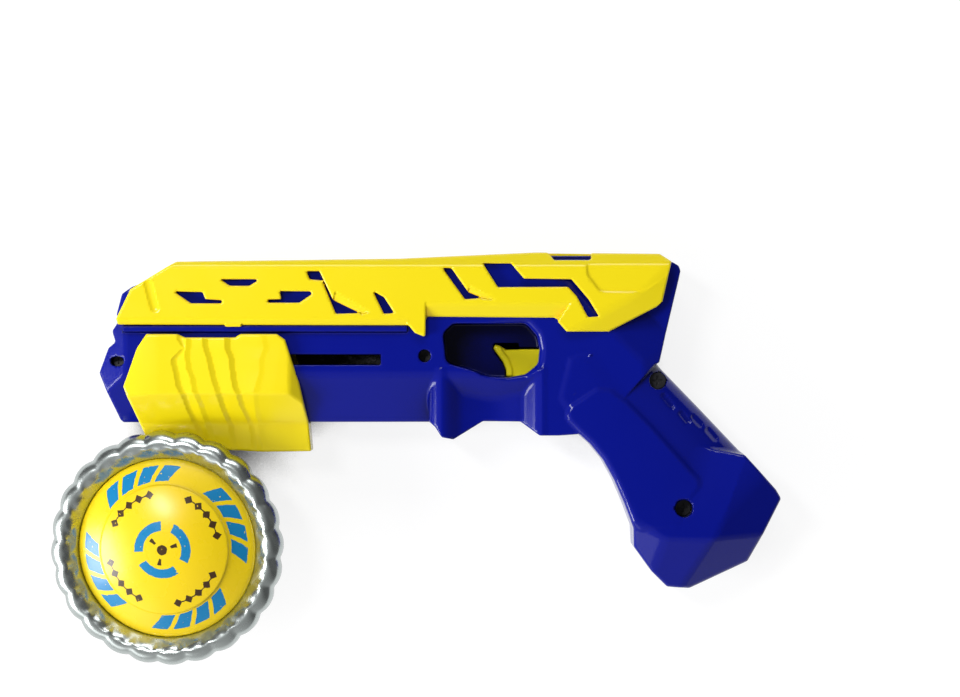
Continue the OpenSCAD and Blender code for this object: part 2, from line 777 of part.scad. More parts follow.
clip_t = 1;
clip_r = 4.2;
clip_mouth_share = 0.7;
module retaining_clip() {
    color(steel)
        from_muzzle()
            difference() {
                rod_x(socket_back + fit_gap, socket_back + fit_gap + clip_t, axis_y, clip_r);
                rod_x(socket_back - over, socket_back + clip_t + over, axis_y, stem_r + fit_gap);
                block([socket_back, axis_y - stem_r * clip_mouth_share, 0],
                    [socket_back + clip_t + over, axis_y + stem_r * clip_mouth_share, clip_r + over]);
            }
}

module trigger() {
    color(yellow)
        from_muzzle()
            difference() {
                plate(trigger_shares, -trigger_w / 2, trigger_w / 2);
                block([trigger_back_x - leg_l / 2, trigger_spring_y - bar_half - fit_gap, -bar_half - fit_gap],
                    [trigger_back_x + over, trigger_spring_y + bar_half + fit_gap, bar_half + fit_gap]);
            }
}

module trigger_bar() {
    color(graphite)
        from_muzzle()
            difference() {
                union() {
                    block([rocker_x - yoke_half_l, bar_y - yoke_lip, -bar_half],
                        [trigger_back_x + leg_l, bar_y - yoke_lip + bar_h, bar_half]);
                    block([trigger_back_x, leg_foot_y, -bar_half],
                        [trigger_back_x + leg_l, bar_y, bar_half]);
                    block([trigger_back_x - leg_l / 2 + fit_gap, trigger_spring_y - bar_half, -bar_half],
                        [trigger_back_x + over, trigger_spring_y + bar_half, bar_half]);
                }
                block([rocker_x - rocker_tip_r - rocker_slack, bar_y - yoke_lip - over, -bar_half - over],
                    [rocker_x + rocker_tip_r + rocker_slack, bar_y - yoke_lip + bar_h - yoke_web, bar_half + over]);
            }
}

module ejector_rod() {
    color(graphite)
        from_muzzle()
            difference() {
                union() {
                    rod_x(ejector_front_x, rocker_x - rocker_tip_r, ejector_y, ejector_r);
                    block([rocker_x - yoke_half_l, ejector_y - rocker_tip_r - rocker_slack - yoke_web, -bar_half],
                        [rocker_x + yoke_half_l, ejector_y + yoke_lip, bar_half]);
                }
                block([rocker_x - rocker_tip_r - rocker_slack, ejector_y - rocker_tip_r - rocker_slack,
                        -bar_half - over],
                    [rocker_x + rocker_tip_r + rocker_slack, ejector_y + yoke_lip + over, bar_half + over]);
            }
}

module rocker() {
    color(graphite)
        from_muzzle()
            translate([rocker_x, rocker_y, -rocker_t / 2])
                difference() {
                    union() {
                        cylinder(h = rocker_t, r = rocker_hub_r);
                        translate([-arm_half, -lower_arm, 0])
                            cube([2 * arm_half, lower_arm + upper_arm, rocker_t]);
                        for (y = [-lower_arm, upper_arm])
                            translate([0, y, 0])
                                cylinder(h = rocker_t, r = rocker_tip_r);
                    }
                    translate([0, 0, -over])
                        cylinder(h = rocker_t + 2 * over, r = screw_r + fit_gap);
                }
}

// stand the top on its tip and one point of its rim
module standing() {
    translate([top_x, top_y, -half_w])
        rotate([0, 0, lean_dir])
            rotate([0, lean, 0])
                children();
}

dome_ball_r = (pow(dome_r, 2) + pow(dome_rise, 2)) / (2 * dome_rise);
module dome_cap(drop, r) {
    intersection() {
        translate([0, 0, dome_z + dome_rise - dome_ball_r - drop])
            sphere(dome_ball_r, $fn = 96);
        translate([0, 0, dome_z - drop - over])
            cylinder(h = dome_rise * 2, r = r, $fn = 96);
    }
}

module top_dome() {
    post_foot_z = base_h + fit_gap;
    color(yellow)
        from_muzzle()
            standing()
                difference() {
                    union() {
                        difference() {
                            union() {
                                dome_cap(dome_step, dome_r);
                                dome_cap(0, dome_r * step_share);
                                translate([0, 0, base_h + fit_gap])
                                    cylinder(h = dome_z - base_h, r = dome_r - fit_gap, $fn = 96);
                            }
                            intersection() {
                                translate([0, 0, dome_z + dome_rise - dome_ball_r - dome_wall])
                                    sphere(dome_ball_r - dome_step, $fn = 96);
                                translate([0, 0, base_h])
                                    cylinder(h = dome_rise * 2, r = dome_r - dome_wall, $fn = 96);
                            }
                        }
                        for (turn = [0, 120, 240])
                            rotate([0, 0, turn])
                                translate([top_screw_place, 0, post_foot_z])
                                    cylinder(h = dome_z + dome_rise / 2 - post_foot_z, r = top_head_r);
                    }
                    for (turn = [0, 120, 240])
                        rotate([0, 0, turn])
                            translate([top_screw_place, 0, 0])
                                cylinder(h = dome_z, r = top_screw_r + fit_gap);
                }
}

// ring: lobes outside, a fluted slope inside that falls to the dome's edge
module top_ring() {
    lobe_place = top_r - lobe_r;
    color(silver)
        from_muzzle()
            standing()
                translate([0, 0, ring_z])
                    difference() {
                        linear_extrude(ring_t)
                            union() {
                                circle(lobe_place + lobe_r / 2, $fn = 96);
                                for (i = [0:lobes - 1])
                                    rotate(360 * i / lobes)
                                        translate([lobe_place, 0])
                                            circle(lobe_r, $fn = 48);
                            }
                        translate([0, 0, -over])
                            cylinder(h = ring_t + 2 * over, r = dome_r + fit_gap, $fn = 96);
                        translate([0, 0, ring_t * ring_slope_share])
                            cylinder(h = ring_t * (1 - ring_slope_share) + fit_gap, r1 = dome_r,
                                r2 = top_r - crest_w, $fn = 96);
                        for (i = [0:lobes - 1])
                            rotate([0, 0, 360 * i / lobes])
                                translate([dome_r + bead_r, 0, ring_t])
                                    sphere(bead_r, $fn = 24);
                    }
}

module top_base() {
    color(graphite)
        from_muzzle()
            standing()
                difference() {
                    union() {
                        rotate_extrude($fn = 96)
                            polygon([[0, hub_root_z], [recess_r, hub_root_z], [recess_r + over, tip_reach],
                                [rim_r, tip_reach], [rim_r + base_wall, tip_reach + base_wall],
                                [flare_r, base_h * flare_share], [flare_r, base_h], [0, base_h]]);
                        translate([0, 0, tip_reach])
                            cylinder(h = hub_h + over, r = hub_r);
                        // land that carries the ring
                        translate([0, 0, base_h - over])
                            cylinder(h = ring_z - base_h + over, r = dome_r + base_wall, $fn = 96);
                    }
                    translate([0, 0, base_h])
                        cylinder(h = base_h, r = dome_r, $fn = 96);
                    // well of the flywheel
                    translate([0, 0, wheel_z])
                        difference() {
                            cylinder(h = base_h, r = wheel_out + fit_gap);
                            translate([0, 0, -over])
                                cylinder(h = base_h + over * 2, r = wheel_in - fit_gap);
                        }
                    translate([0, 0, tip_reach - over])
                        cylinder(h = hub_h + over, r = tip_r + fit_gap);
                    // slot for the muzzle's dogs
                    translate([-hub_r - over, -dog_w / 2 - fit_gap * 2, tip_reach - over])
                        cube([2 * (hub_r + over), dog_w + fit_gap * 4, dog_h + over]);
                    for (turn = [0, 120, 240])
                        rotate([0, 0, turn])
                            translate([top_screw_place, 0, 0])
                                cylinder(h = base_h + over, r = top_screw_r + fit_gap);
                }
}

module top_flywheel() {
    color(steel)
        from_muzzle()
            standing()
                translate([0, 0, wheel_z])
                    difference() {
                        cylinder(h = wheel_h, r = wheel_out);
                        translate([0, 0, -over])
                            cylinder(h = wheel_h + 2 * over, r = wheel_in);
                    }
}

module top_tip() {
    color(steel)
        from_muzzle()
            standing() {
                translate([0, 0, tip_r])
                    sphere(tip_r);
                translate([0, 0, tip_r])
                    cylinder(h = hub_root_z - tip_r - over, r = tip_r);
            }
}

module top_screws() {
    color(steel)
        from_muzzle()
            standing()
                for (turn = [0, 120, 240])
                    rotate([0, 0, turn])
                        translate([top_screw_place, 0, 0])
                            mirror([0, 0, 1])
                                screw(top_screw_r, top_head_r, -hub_root_z, -dome_z + over);
}

left_housing();
right_housing();
left_cover();
right_cover();
housing_screws();
front_bearing();
rear_bearing();
rocker_pin();
drive_spring();
trigger_spring();
left_pump_grip();
right_pump_grip();
pump_carriage();
drive_nut();
pump_screws();
muzzle_socket();
drive_screw();
retaining_clip();
trigger();
trigger_bar();
rocker();
ejector_rod();
top_dome();
top_ring();
top_base();
top_flywheel();
top_tip();
top_screws();
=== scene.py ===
import math
import bpy
import numpy as np
from mathutils import Matrix, Vector


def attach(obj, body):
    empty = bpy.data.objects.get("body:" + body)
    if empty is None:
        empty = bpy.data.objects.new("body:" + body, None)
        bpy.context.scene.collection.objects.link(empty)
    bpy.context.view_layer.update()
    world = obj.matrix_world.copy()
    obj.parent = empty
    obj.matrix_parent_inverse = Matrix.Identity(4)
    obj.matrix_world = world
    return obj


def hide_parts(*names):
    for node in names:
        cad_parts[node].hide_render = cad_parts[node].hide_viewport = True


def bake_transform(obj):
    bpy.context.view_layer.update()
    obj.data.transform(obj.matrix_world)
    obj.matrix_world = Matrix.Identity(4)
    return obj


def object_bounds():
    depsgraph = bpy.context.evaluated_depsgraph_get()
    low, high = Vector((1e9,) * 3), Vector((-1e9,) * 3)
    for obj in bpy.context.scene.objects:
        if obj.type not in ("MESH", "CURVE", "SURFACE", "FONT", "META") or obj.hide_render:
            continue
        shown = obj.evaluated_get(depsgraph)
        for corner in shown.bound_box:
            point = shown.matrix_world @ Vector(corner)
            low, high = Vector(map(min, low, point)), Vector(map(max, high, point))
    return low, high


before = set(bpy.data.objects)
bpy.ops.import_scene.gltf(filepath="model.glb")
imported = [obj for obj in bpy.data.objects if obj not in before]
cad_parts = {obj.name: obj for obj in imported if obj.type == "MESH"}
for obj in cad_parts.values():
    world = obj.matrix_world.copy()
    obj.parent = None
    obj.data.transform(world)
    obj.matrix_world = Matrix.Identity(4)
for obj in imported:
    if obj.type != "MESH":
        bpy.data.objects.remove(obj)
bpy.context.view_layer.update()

# The camera looks straight down on the launcher's left side, as it lies on a white table,
# through a long lens, with the image's up along the launcher's own up.
MM = 0.001
image_px = (960, 697)
sheet_square = 0.33
nose_square = (98, 372)
nose_to_frame = Vector((-5, 6, 0))
image_middle = sheet_square * Vector((image_px[0] / 2 - nose_square[0],
                                      nose_square[1] - image_px[1] / 2))
camera_height = 1100
sharp_plane = 14
camera_data = bpy.data.cameras.new("camera")
camera_data.sensor_width = 36
camera_data.lens = 36 * (camera_height - sharp_plane) / (image_px[0] * sheet_square)
camera = bpy.data.objects.new("camera", camera_data)
camera.location = ((image_middle.x + nose_to_frame.x) * MM, (image_middle.y + nose_to_frame.y) * MM,
                   camera_height * MM)
bpy.context.scene.collection.objects.link(camera)
bpy.context.scene.camera = camera
bpy.context.scene.view_settings.view_transform = "Standard"


# Studio: a softbox low on the left, a dim one at the lower left, one beyond the launcher's top
# and a small ceiling lamp, in a room that is dark towards the upper right.
middle_of_view = Vector((0.1, 0, 0))


def softbox(name, place, size, power):
    """A rectangular lamp that faces the middle of the view."""
    data = bpy.data.lights.new(name, "AREA")
    data.shape = "RECTANGLE"
    data.size, data.size_y = size
    data.energy = power
    lamp = bpy.data.objects.new(name, data)
    lamp.location = place
    lamp.rotation_euler = (middle_of_view - Vector(place)).to_track_quat("-Z", "Y").to_euler()
    bpy.context.scene.collection.objects.link(lamp)


softbox("key_softbox", place=(-0.72, -0.25, 0.38), size=(0.4, 0.4), power=8.5)
softbox("low_softbox", place=(-0.7, -1.0, 0.6), size=(0.7, 0.5), power=1.6)
softbox("far_softbox", place=(0.1, 0.8, 0.6), size=(0.7, 0.3), power=4)
softbox("ceiling_lamp", place=(-0.3, 0.3, 1.0), size=(0.12, 0.3), power=4)


class Term:
    """A socket of a shader tree, on which Python's operators add Math nodes."""

    def __init__(self, tree, socket):
        self.tree, self.socket = tree, socket

    def node(self, kind, settings, *values, out=0, **named):
        """A new node of the tree: its settings first, then its sockets by place or by name."""
        made = self.tree.nodes.new("ShaderNode" + kind)
        for key, value in settings.items():
            if key == "stops":
                for i, (at, colour) in enumerate(value):
                    stop = made.color_ramp.elements[i] if i < 2 else made.color_ramp.elements.new(at)
                    stop.position, stop.color = at, (*colour, 1)
            else:
                setattr(made, key, value)
        by_name = ((key.replace("_", " "), value) for key, value in named.items())
        for where, value in [*enumerate(values), *by_name]:
            if isinstance(value, Term):
                self.tree.links.new(value.socket, made.inputs[where])
            elif value is not None:
                made.inputs[where].default_value = value
        return Term(self.tree, made.outputs[out]) if made.outputs else None

    def math(self, operation, *values):
        return self.node("Math", {"operation": operation}, *values)

    def __add__(self, other): return self.math("ADD", self, other)
    def __sub__(self, other): return self.math("SUBTRACT", self, other)
    def __rsub__(self, other): return self.math("SUBTRACT", other, self)
    def __mul__(self, other): return self.math("MULTIPLY", self, other)
    def __gt__(self, other): return self.math("GREATER_THAN", self, other)
    def __lt__(self, other): return self.math("LESS_THAN", self, other)
    __radd__ = __add__
    __rmul__ = __mul__

    def mix(self, first, second):
        """The first colour where this is 0, the second where it is 1."""
        unused = [None] * 5
        return self.node("Mix", {"data_type": "RGBA"}, self, *unused, first, second, out=2)

    def noise(self, scale, detail=2.0):
        """Noise over this vector, from 0 to 1."""
        return self.node("TexNoise", {}, Vector=self, Scale=scale, Detail=detail)


def grey(level):
    """A colour without a tint."""
    return level, level, level


def start_material(name):
    """A new material with an empty tree, and its object coordinates."""
    material = bpy.data.materials.new(name)
    material.use_nodes = True
    material.node_tree.nodes.clear()
    return material, Term(material.node_tree, None).node("TexCoord", {}, out="Object")


def finish_material(place, **sockets):
    """The Principled shader with these sockets, joined to the output."""
    place.node("OutputMaterial", {}, Surface=place.node("BsdfPrincipled", {}, **sockets))


room = bpy.data.worlds.new("room")
bpy.context.scene.world = room
room.use_nodes = True
room.node_tree.nodes.clear()
looking = Term(room.node_tree, None).node("TexCoord", {}, out="Generated")
bright_side = (-0.35, -0.6, 0)
wall_levels = ((0.08, 0.06), (0.9, 0.9), (0.32, 0.22), (0.5, 0.12), (0.63, 0.5))
room_strength = 0.8
walls = looking.node("VectorMath", {"operation": "DOT_PRODUCT"}, looking, bright_side, out="Value")
paint = looking.node("ValToRGB", {"stops": [(at, grey(level)) for at, level in wall_levels]},
                     walls * 0.6 + 0.5)
looking.node("OutputWorld", {}, Surface=looking.node("Background", {}, paint, room_strength))

# Table: a matt white sheet. Seen straight it is white, with the soft shadows of what lies
# on it, and it lights the undersides as white paper does. Where little open sky reaches it,
# under and inside the launcher, it is painted near-black as painted shadow.
half_table = 3000
matt_level, faint_level, painted_shade_level, glow = 0.8, 0.2, 0.02, 0.86
shadow_reach = 60
table_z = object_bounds()[0].z
sheet = bpy.data.meshes.new("table")
sheet.from_pydata([(x * half_table * MM, y * half_table * MM, table_z)
                   for x, y in ((-1, -1), (1, -1), (1, 1), (-1, 1))], [], [(0, 1, 2, 3)])
table = bpy.data.objects.new("table", sheet)
bpy.context.scene.collection.objects.link(table)
paper, place = start_material("white_paper")
matt = place.node("BsdfDiffuse", {}, (*grey(matt_level), 1))
open_sky = place.node("AmbientOcclusion", {"samples": 16}, Distance=shadow_reach * MM, out="AO")
faint = place.node("BsdfDiffuse", {}, (*grey(faint_level), 1))
lit = place.node("AddShader", {}, faint, place.node("Emission", {}, (*grey(1), 1), glow))
# Painted shadow: a near-black sheet seen wherever the launcher closes off the sky above the table.
painted_shade_sheet = place.node("BsdfDiffuse", {}, (*grey(painted_shade_level), 1))
bright = place.math("MINIMUM", place.math("MAXIMUM", (open_sky - 0.2) * 6, 0.0), 1.0)
seen = place.node("MixShader", {}, bright, painted_shade_sheet, lit)
straight = 0
for ray in ("Is Camera Ray", "Is Glossy Ray", "Is Transmission Ray"):
    straight = place.node("LightPath", {}, out=ray) + straight
place.node("OutputMaterial", {}, Surface=place.node("MixShader", {}, straight, matt, seen))
sheet.materials.append(paper)

# Housing shells: the left and right half, injection-moulded in glossy royal blue ABS, meet
# at the middle plane. Each is drawn as a form in mm from the nose tip, x back, y up and z
# out of its own side, and pressed into a skin where the form's value is 0.
launcher_l, launcher_h = 226, 111
flank = 15.4


def on_sheet(*squares):
    """Points of the side view's drawing sheet as mm from the nose tip."""
    return [((x - nose_square[0]) * sheet_square, (nose_square[1] - y) * sheet_square)
            for x, y in squares]


def of_launcher(*shares):
    """Points given as shares of the launcher's length and height, in mm."""
    return [(u * launcher_l, v * launcher_h) for u, v in shares]


def turned(corners, radius, steps=4):
    """The outline with its corners turned on this radius."""
    points = []
    for i, corner in enumerate(corners):
        here = Vector(corner)
        back, on = Vector(corners[i - 1]) - here, Vector(corners[(i + 1) % len(corners)]) - here
        half = max(back.angle(on) / 2, 0.01)
        reach = min(radius / math.tan(half), back.length * 0.45, on.length * 0.45)
        start, end = here + back.normalized() * reach, here + on.normalized() * reach
        for step in range(steps + 1):
            t = step / steps
            points.append(start * (1 - t) ** 2 + here * 2 * t * (1 - t) + end * t ** 2)
    return points


def inside(x, y, corners):
    """Distance to a closed outline, negative within it."""
    near, odd = 1e9, False
    for (ax, ay), (bx, by) in zip(corners, [*corners[1:], corners[0]]):
        ex, ey, wx, wy = bx - ax, by - ay, x - ax, y - ay
        t = np.clip((wx * ex + wy * ey) / (ex * ex + ey * ey + 1e-12), 0, 1)
        near = np.minimum(near, (wx - ex * t) ** 2 + (wy - ey * t) ** 2)
        odd = odd ^ (((ay > y) != (by > y)) & ((wx * ey < wy * ex) == (ey > 0)))
    return np.sqrt(near) * np.where(odd, -1, 1)


def beyond(u, v, start, end):
    """Distance past the straight line from start to end, positive on its left."""
    run, rise = end[0] - start[0], end[1] - start[1]
    return ((v - start[1]) * run - (u - start[0]) * rise) / math.hypot(run, rise)


def above(x, y, z, a, b, c):
    """Distance above the plane through three points."""
    normal = (Vector(b) - Vector(a)).cross(Vector(c) - Vector(a)).normalized()
    normal = normal if normal.z > 0 else -normal
    return (x - a[0]) * normal.x + (y - a[1]) * normal.y + (z - a[2]) * normal.z


def tilted(x, y, z, corners):
    """Distance above the plane through three squares of the sheet, each with its height."""
    return above(x, y, z, *((*on_sheet(square)[0], height) for square, height in corners))


def both(a, b, r):
    """What two forms share, with the edge between them turned on radius r."""
    return np.minimum(-r, np.maximum(a, b)) + np.hypot(np.maximum(a + r, 0), np.maximum(b + r, 0)) \
        if np.any(r) else np.maximum(a, b)


def either(a, b, r):
    """Two forms joined, with a fillet of radius r between them."""
    return -both(-a, -b, r)


def brick(x, y, z, low, high):
    """A rectangular block."""
    sides = [np.abs(v - (a + b) / 2) - (b - a) / 2 for v, a, b in zip((x, y, z), low, high)]
    return np.maximum(np.maximum(sides[0], sides[1]), sides[2])


def round_bar(u, v, middle, r):
    """A round rod or hole seen along its axis."""
    return np.hypot(u - middle[0], v - middle[1]) - r


def skin(form, low, high, cell):
    """Points, quads and normals of the surface where the form's value is 0."""
    axes = [np.arange(a - 1.5 * cell, b + 2.5 * cell, cell) for a, b in zip(low, high)]
    x, y, z = np.meshgrid(*axes, indexing="ij", sparse=True)
    value = np.broadcast_to(form(x, y, z), [len(axis) for axis in axes])
    solid = value < 0
    shape = np.array(solid.shape) - 1
    mixed = np.zeros(shape, bool)
    for corner in np.ndindex(2, 2, 2):
        mixed |= solid[tuple(slice(c, c + n) for c, n in zip(corner, shape))] != solid[:-1, :-1, :-1]
    number = np.full(shape, -1)
    cells = np.argwhere(mixed)
    number[mixed] = np.arange(len(cells))
    total, hits = np.zeros((len(cells), 3)), np.zeros((len(cells), 1))
    for axis in range(3):
        step = np.eye(3, dtype=int)[axis]
        for corner in np.ndindex(2, 2, 2):
            if corner[axis]:
                continue
            near = cells + corner
            a, b = value[tuple(near.T)][:, None], value[tuple((near + step).T)][:, None]
            cut = (a < 0) != (b < 0)
            total += cut * (near + step * (a / np.where(a == b, 1, a - b)))
            hits += cut
    points = total / hits * cell + [axis[0] for axis in axes]
    quads = []
    for axis in range(3):
        first, second = (axis + 1) % 3, (axis + 2) % 3
        low_side = np.moveaxis(solid, axis, 0)[:-1]
        change = np.moveaxis(low_side != np.moveaxis(solid, axis, 0)[1:], 0, axis)
        keep = np.argwhere(change)
        keep = keep[(keep[:, first] > 0) & (keep[:, second] > 0)
                    & (keep[:, first] < shape[first]) & (keep[:, second] < shape[second])]
        ring = []
        for du, dv in ((1, 1), (0, 1), (0, 0), (1, 0)):
            at = keep.copy()
            at[:, first] -= du
            at[:, second] -= dv
            ring.append(number[tuple(at.T)])
        ring = np.stack(ring, 1)
        out = solid[tuple(keep.T)]
        quads.append(np.where(out[:, None], ring, ring[:, ::-1]))
    for _ in range(3):
        here = form(*points.T)
        slope = np.stack([form(*(points + step).T) - here for step in np.eye(3) * 0.02], 1) / 0.02
        length = np.maximum((slope ** 2).sum(1), 0.2)
        move = slope * (here / length)[:, None]
        far = np.maximum(np.linalg.norm(move, axis=1) / (cell * 0.4), 1)[:, None]
        points = points - move / far
    return points, np.concatenate(quads), slope / np.sqrt(length)[:, None]


def lay(name, points, faces, material, normals=None, side=1):
    """An object from points in mm from the nose tip; side -1 mirrors it to the right."""
    points = np.array(points) * (1, 1, side)
    faces = np.array(faces) if side > 0 else np.array(faces)[:, ::-1]
    mesh = bpy.data.meshes.new(name)
    mesh.from_pydata(((points + nose_to_frame) * MM).tolist(), [], faces.tolist())
    mesh.shade_smooth()
    if normals is not None:
        mesh.normals_split_custom_set_from_vertices((normals * (1, 1, side)).tolist())
    mesh.materials.append(material)
    piece = bpy.data.objects.new(name, mesh)
    bpy.context.scene.collection.objects.link(piece)
    return piece


def glossy_plastic(name, colour, shaded_colour, rough, shade=4, gloss=0.4):
    """Moulded plastic, uneven in colour and polish, with painted shade: darker towards the shaded
    colour in creases within the shade distance.
    """
    material, place = start_material(name)
    open_face = place.node("AmbientOcclusion", {"samples": 4, "only_local": True},
                           Distance=shade * MM, out="AO")
    # Painted shade: the colour turns to the shaded colour where little light reaches, in creases and
    # hollows.
    painted_crease_shade = place.math("MINIMUM", place.math("MAXIMUM", (0.9 - open_face) * 3, 0.0), 1.0)
    tone_and_painted_shade = place.math("MINIMUM", place.noise(35.0, 3.0) * 0.15 + painted_crease_shade, 1.0)
    tint = tone_and_painted_shade.mix((*colour, 1), (*shaded_colour, 1))
    bump = place.node("Bump", {}, Strength=0.3, Distance=0.004 * MM, Height=place.noise(700.0))
    finish_material(place, Base_Color=tint, Roughness=rough + place.noise(90.0, 4.0) * 0.1,
                    Normal=bump, Specular_IOR_Level=gloss)
    return material


# The second colour is the painted shade that the plastic takes in its creases and recesses.
blue_abs = glossy_plastic("blue_plastic", (0.0015, 0.006, 0.24), (0.0008, 0.0015, 0.04), 0.1,
                          shade=14, gloss=0.24)
barrel = of_launcher(
    (0, -0.003), (0.014, 0.071), (0.025, 0.089), (0.02, 0.122), (0.028, 0.146),
    (0.027, 0.173), (0.035, 0.232), (0.05, 0.253), (0.118, 0.305), (0.44, 0.314),
    (0.64, 0.332), (0.82, 0.329), (0.839, 0.329), (0.849, 0.317), (0.852, 0.302),
    (0.82, 0.028), (0.813, 0.021), (0.76, -0.1), (0.7, -0.185), (0.673, -0.189),
    (0.645, -0.189), (0.617, -0.148), (0.562, -0.147), (0.519, -0.201), (0.502, -0.194),
    (0.492, -0.163), (0.484, -0.15), (0.033, -0.151), (0.029, -0.142))
barrel_line = turned(barrel, 0.5, 2)
grip_line = turned(on_sheet(
    (548, 400), (564, 426), (578, 434), (590, 444), (603, 460), (614, 480), (624, 503), (631, 522),
    (636, 526), (700, 526), (783, 500), (779, 493), (765, 477), (740, 450), (700, 408),
    (664, 371), (655, 361), (643, 352), (620, 342), (600, 335), (560, 350)), 3)
swell_line = turned(on_sheet(
    (612, 388), (597, 386), (583, 395), (569, 404), (564, 413), (567, 422), (578, 433), (590, 444),
    (603, 460), (614, 480), (624, 503), (632, 524), (640, 530), (680, 530), (690, 503), (702, 486),
    (700, 477), (652, 424), (628, 400)), 3)
butt_line = turned(on_sheet(
    (633, 518), (634, 547), (652, 572), (668, 588), (691, 590), (750, 563), (782.5, 499),
    (777, 490), (745, 455), (700, 446), (640, 470)), 1.2)
opening_line = turned(on_sheet(
    (443, 333), (453, 323.5), (526, 323.5), (537, 336), (539.5, 350), (538, 364), (526, 374),
    (509, 377.5), (488, 376.5), (468, 369), (446, 363)), 3.2)
trigger_way = of_launcher(
    (0.5765, 0.07), (0.5785, 0.084), (0.6137, 0.084), (0.6137, 0.071), (0.66, 0.071),
    (0.66, -0.018), (0.5955, -0.018), (0.595, 0.006), (0.5905, 0.029), (0.5815, 0.054))
wells = list(zip(of_launcher((0.028, 0.032), (0.477, 0.048), (0.818, -0.026), (0.855, -0.405)),
                 (2, 2, 2.8, 2.8), (6.9, 6.9, 7.7, 7.7)))
# A plane is given by three squares of the sheet with a height in mm each, a slope or taper by
# a line in a view along the launcher or from above, and a room, slot or rib by two corners.
screw_bore_r = 1.55
oval_well_reach, oval_well_r = 0.9, 1.4
barrel_slope = (-16.65, 6.5), (-1, flank)
guard_face, guard_span = 12, (113.7, 146)
ridge_z, ridge_r = 10.8, 4.6
finger_scoop, finger_scoop_r = (129.8, 36.6), 25.5
front_taper = (0, 10.8), (9, flank)
rear_taper = (180.2, flank), (192.6, 10.2)
grip_face, palm_face = 15.6, 17.1
rear_block = ((611, 331), flank), ((643, 362), flank), ((650, 325), 11.5)
rear_block_floor = 10.5
back_band = ((640, 400), grip_face), ((700, 478), grip_face), ((745, 452), 9)
swell_front = ((575, 405), 17), ((632, 520), 17.3), ((655, 424), 15.9)
swell_back = ((634, 435), 16.4), ((649, 467), 16.5), ((590, 470), 16.3)
butt_facets = (
    (((638, 517), 17.2), ((665, 538), 17.2), ((640, 572), 9.5)),
    (((665, 538), 17.2), ((713, 540), 17.2), ((688, 590), 8)),
    (((713, 539), 17.2), ((774, 519), 13.5), ((750, 563), 5)),
    (((735, 487), 17.2), ((715, 537), 17.2), ((783, 500), 10)))
butt_shoulder = ((640, 505), 17), ((735, 480), 16.6), ((690, 430), 11)
cover_strip = (8.1, 13.1, 10), (102.2, 15.3, 16.4)
slit_rib = (146, 34, -1), (164, 38.5, 7.6)
slot = (44.7, 2.35, -1), (93.3, 5.75, 20)
web = 1
drive_room = (12, -14.4, -1), (102.2, 23.9, 13.4)
drive_slope = (-16.65, 4.5), (-1, 13.4)
bar_room = (20.4, 22.9, -1), (102.2, 31.5, 12.4)
bar_passage = (101, 24, -1), (151.9, 31.5, 3.4)
trigger_room = (146.9, -5.5, -1), (166.7, 31.5, 12.4)
trigger_way_half = 4.3
nose_bores = (((-1, 13), 7.25, -6), ((12, 13.1), 5.7, -6), ((-1, 13.1), 1.55, 11.5),
              ((101, 104.2), 6.5, -6))
dents = [(on_sheet(start)[0], on_sheet(end)[0]) for start, end in (
    ((664, 396), (672, 406)), ((682, 414), (688, 421)), ((694, 418), (701, 425)),
    ((709, 431), (716, 439)))]
dent_r, dent_height = 1.2, 0.6
pips = on_sheet((590, 356), (586, 363), (574, 393), (575, 420))
pip_r, pip_sunk = 0.6, 0.25


def line_distance(x, y, start, end):
    """Distance to a straight stroke."""
    run, rise = end[0] - start[0], end[1] - start[1]
    t = np.clip(((x - start[0]) * run + (y - start[1]) * rise) / (run * run + rise * rise), 0, 1)
    return np.hypot(x - start[0] - run * t, y - start[1] - rise * t)


def housing_outside(x, y, z):
    """The shell's outer face: barrel, guard straps, grip with its palm swell, and faceted butt."""
    front, back = guard_span
    section = both(z - flank, np.minimum(beyond(y, z, *barrel_slope), back - x), 0.8)
    guard = np.maximum(np.maximum(z - guard_face, front - x), x - back)
    for ridge_x in guard_span:
        guard = either(guard, round_bar(x, z, (ridge_x, ridge_z), ridge_r), 2.2)
    guard = both(guard, -round_bar(x, z, finger_scoop, finger_scoop_r), 1.5)
    guard = np.maximum(guard, y - 1)
    section = either(section, guard, 0.8)
    ends = both(beyond(x, z, *front_taper), beyond(x, z, *rear_taper), 0)
    rear = np.minimum(tilted(x, y, z, rear_block), z - rear_block_floor)
    form = both(both(both(section, ends, 0.5), rear, 0.5), inside(x, y, barrel_line), 0.5)
    form = either(form, brick(x, y, z, *cover_strip), 0)
    form = either(form, brick(x, y, z, *slit_rib), 0)
    grip = both(both(z - grip_face, tilted(x, y, z, back_band), 3), inside(x, y, grip_line), 5.5)
    swell = both(tilted(x, y, z, swell_front), tilted(x, y, z, swell_back), 0.8)
    grip = either(grip, both(swell, inside(x, y, swell_line), 2), 0.6)
    butt = z - palm_face
    for facet in butt_facets:
        butt = both(butt, tilted(x, y, z, facet), 0.6)
    butt = both(butt, tilted(x, y, z, butt_shoulder), 4)
    butt = both(butt, inside(x, y, butt_line), 0.9)
    return either(form, either(grip, butt, 1.2), 0.5)


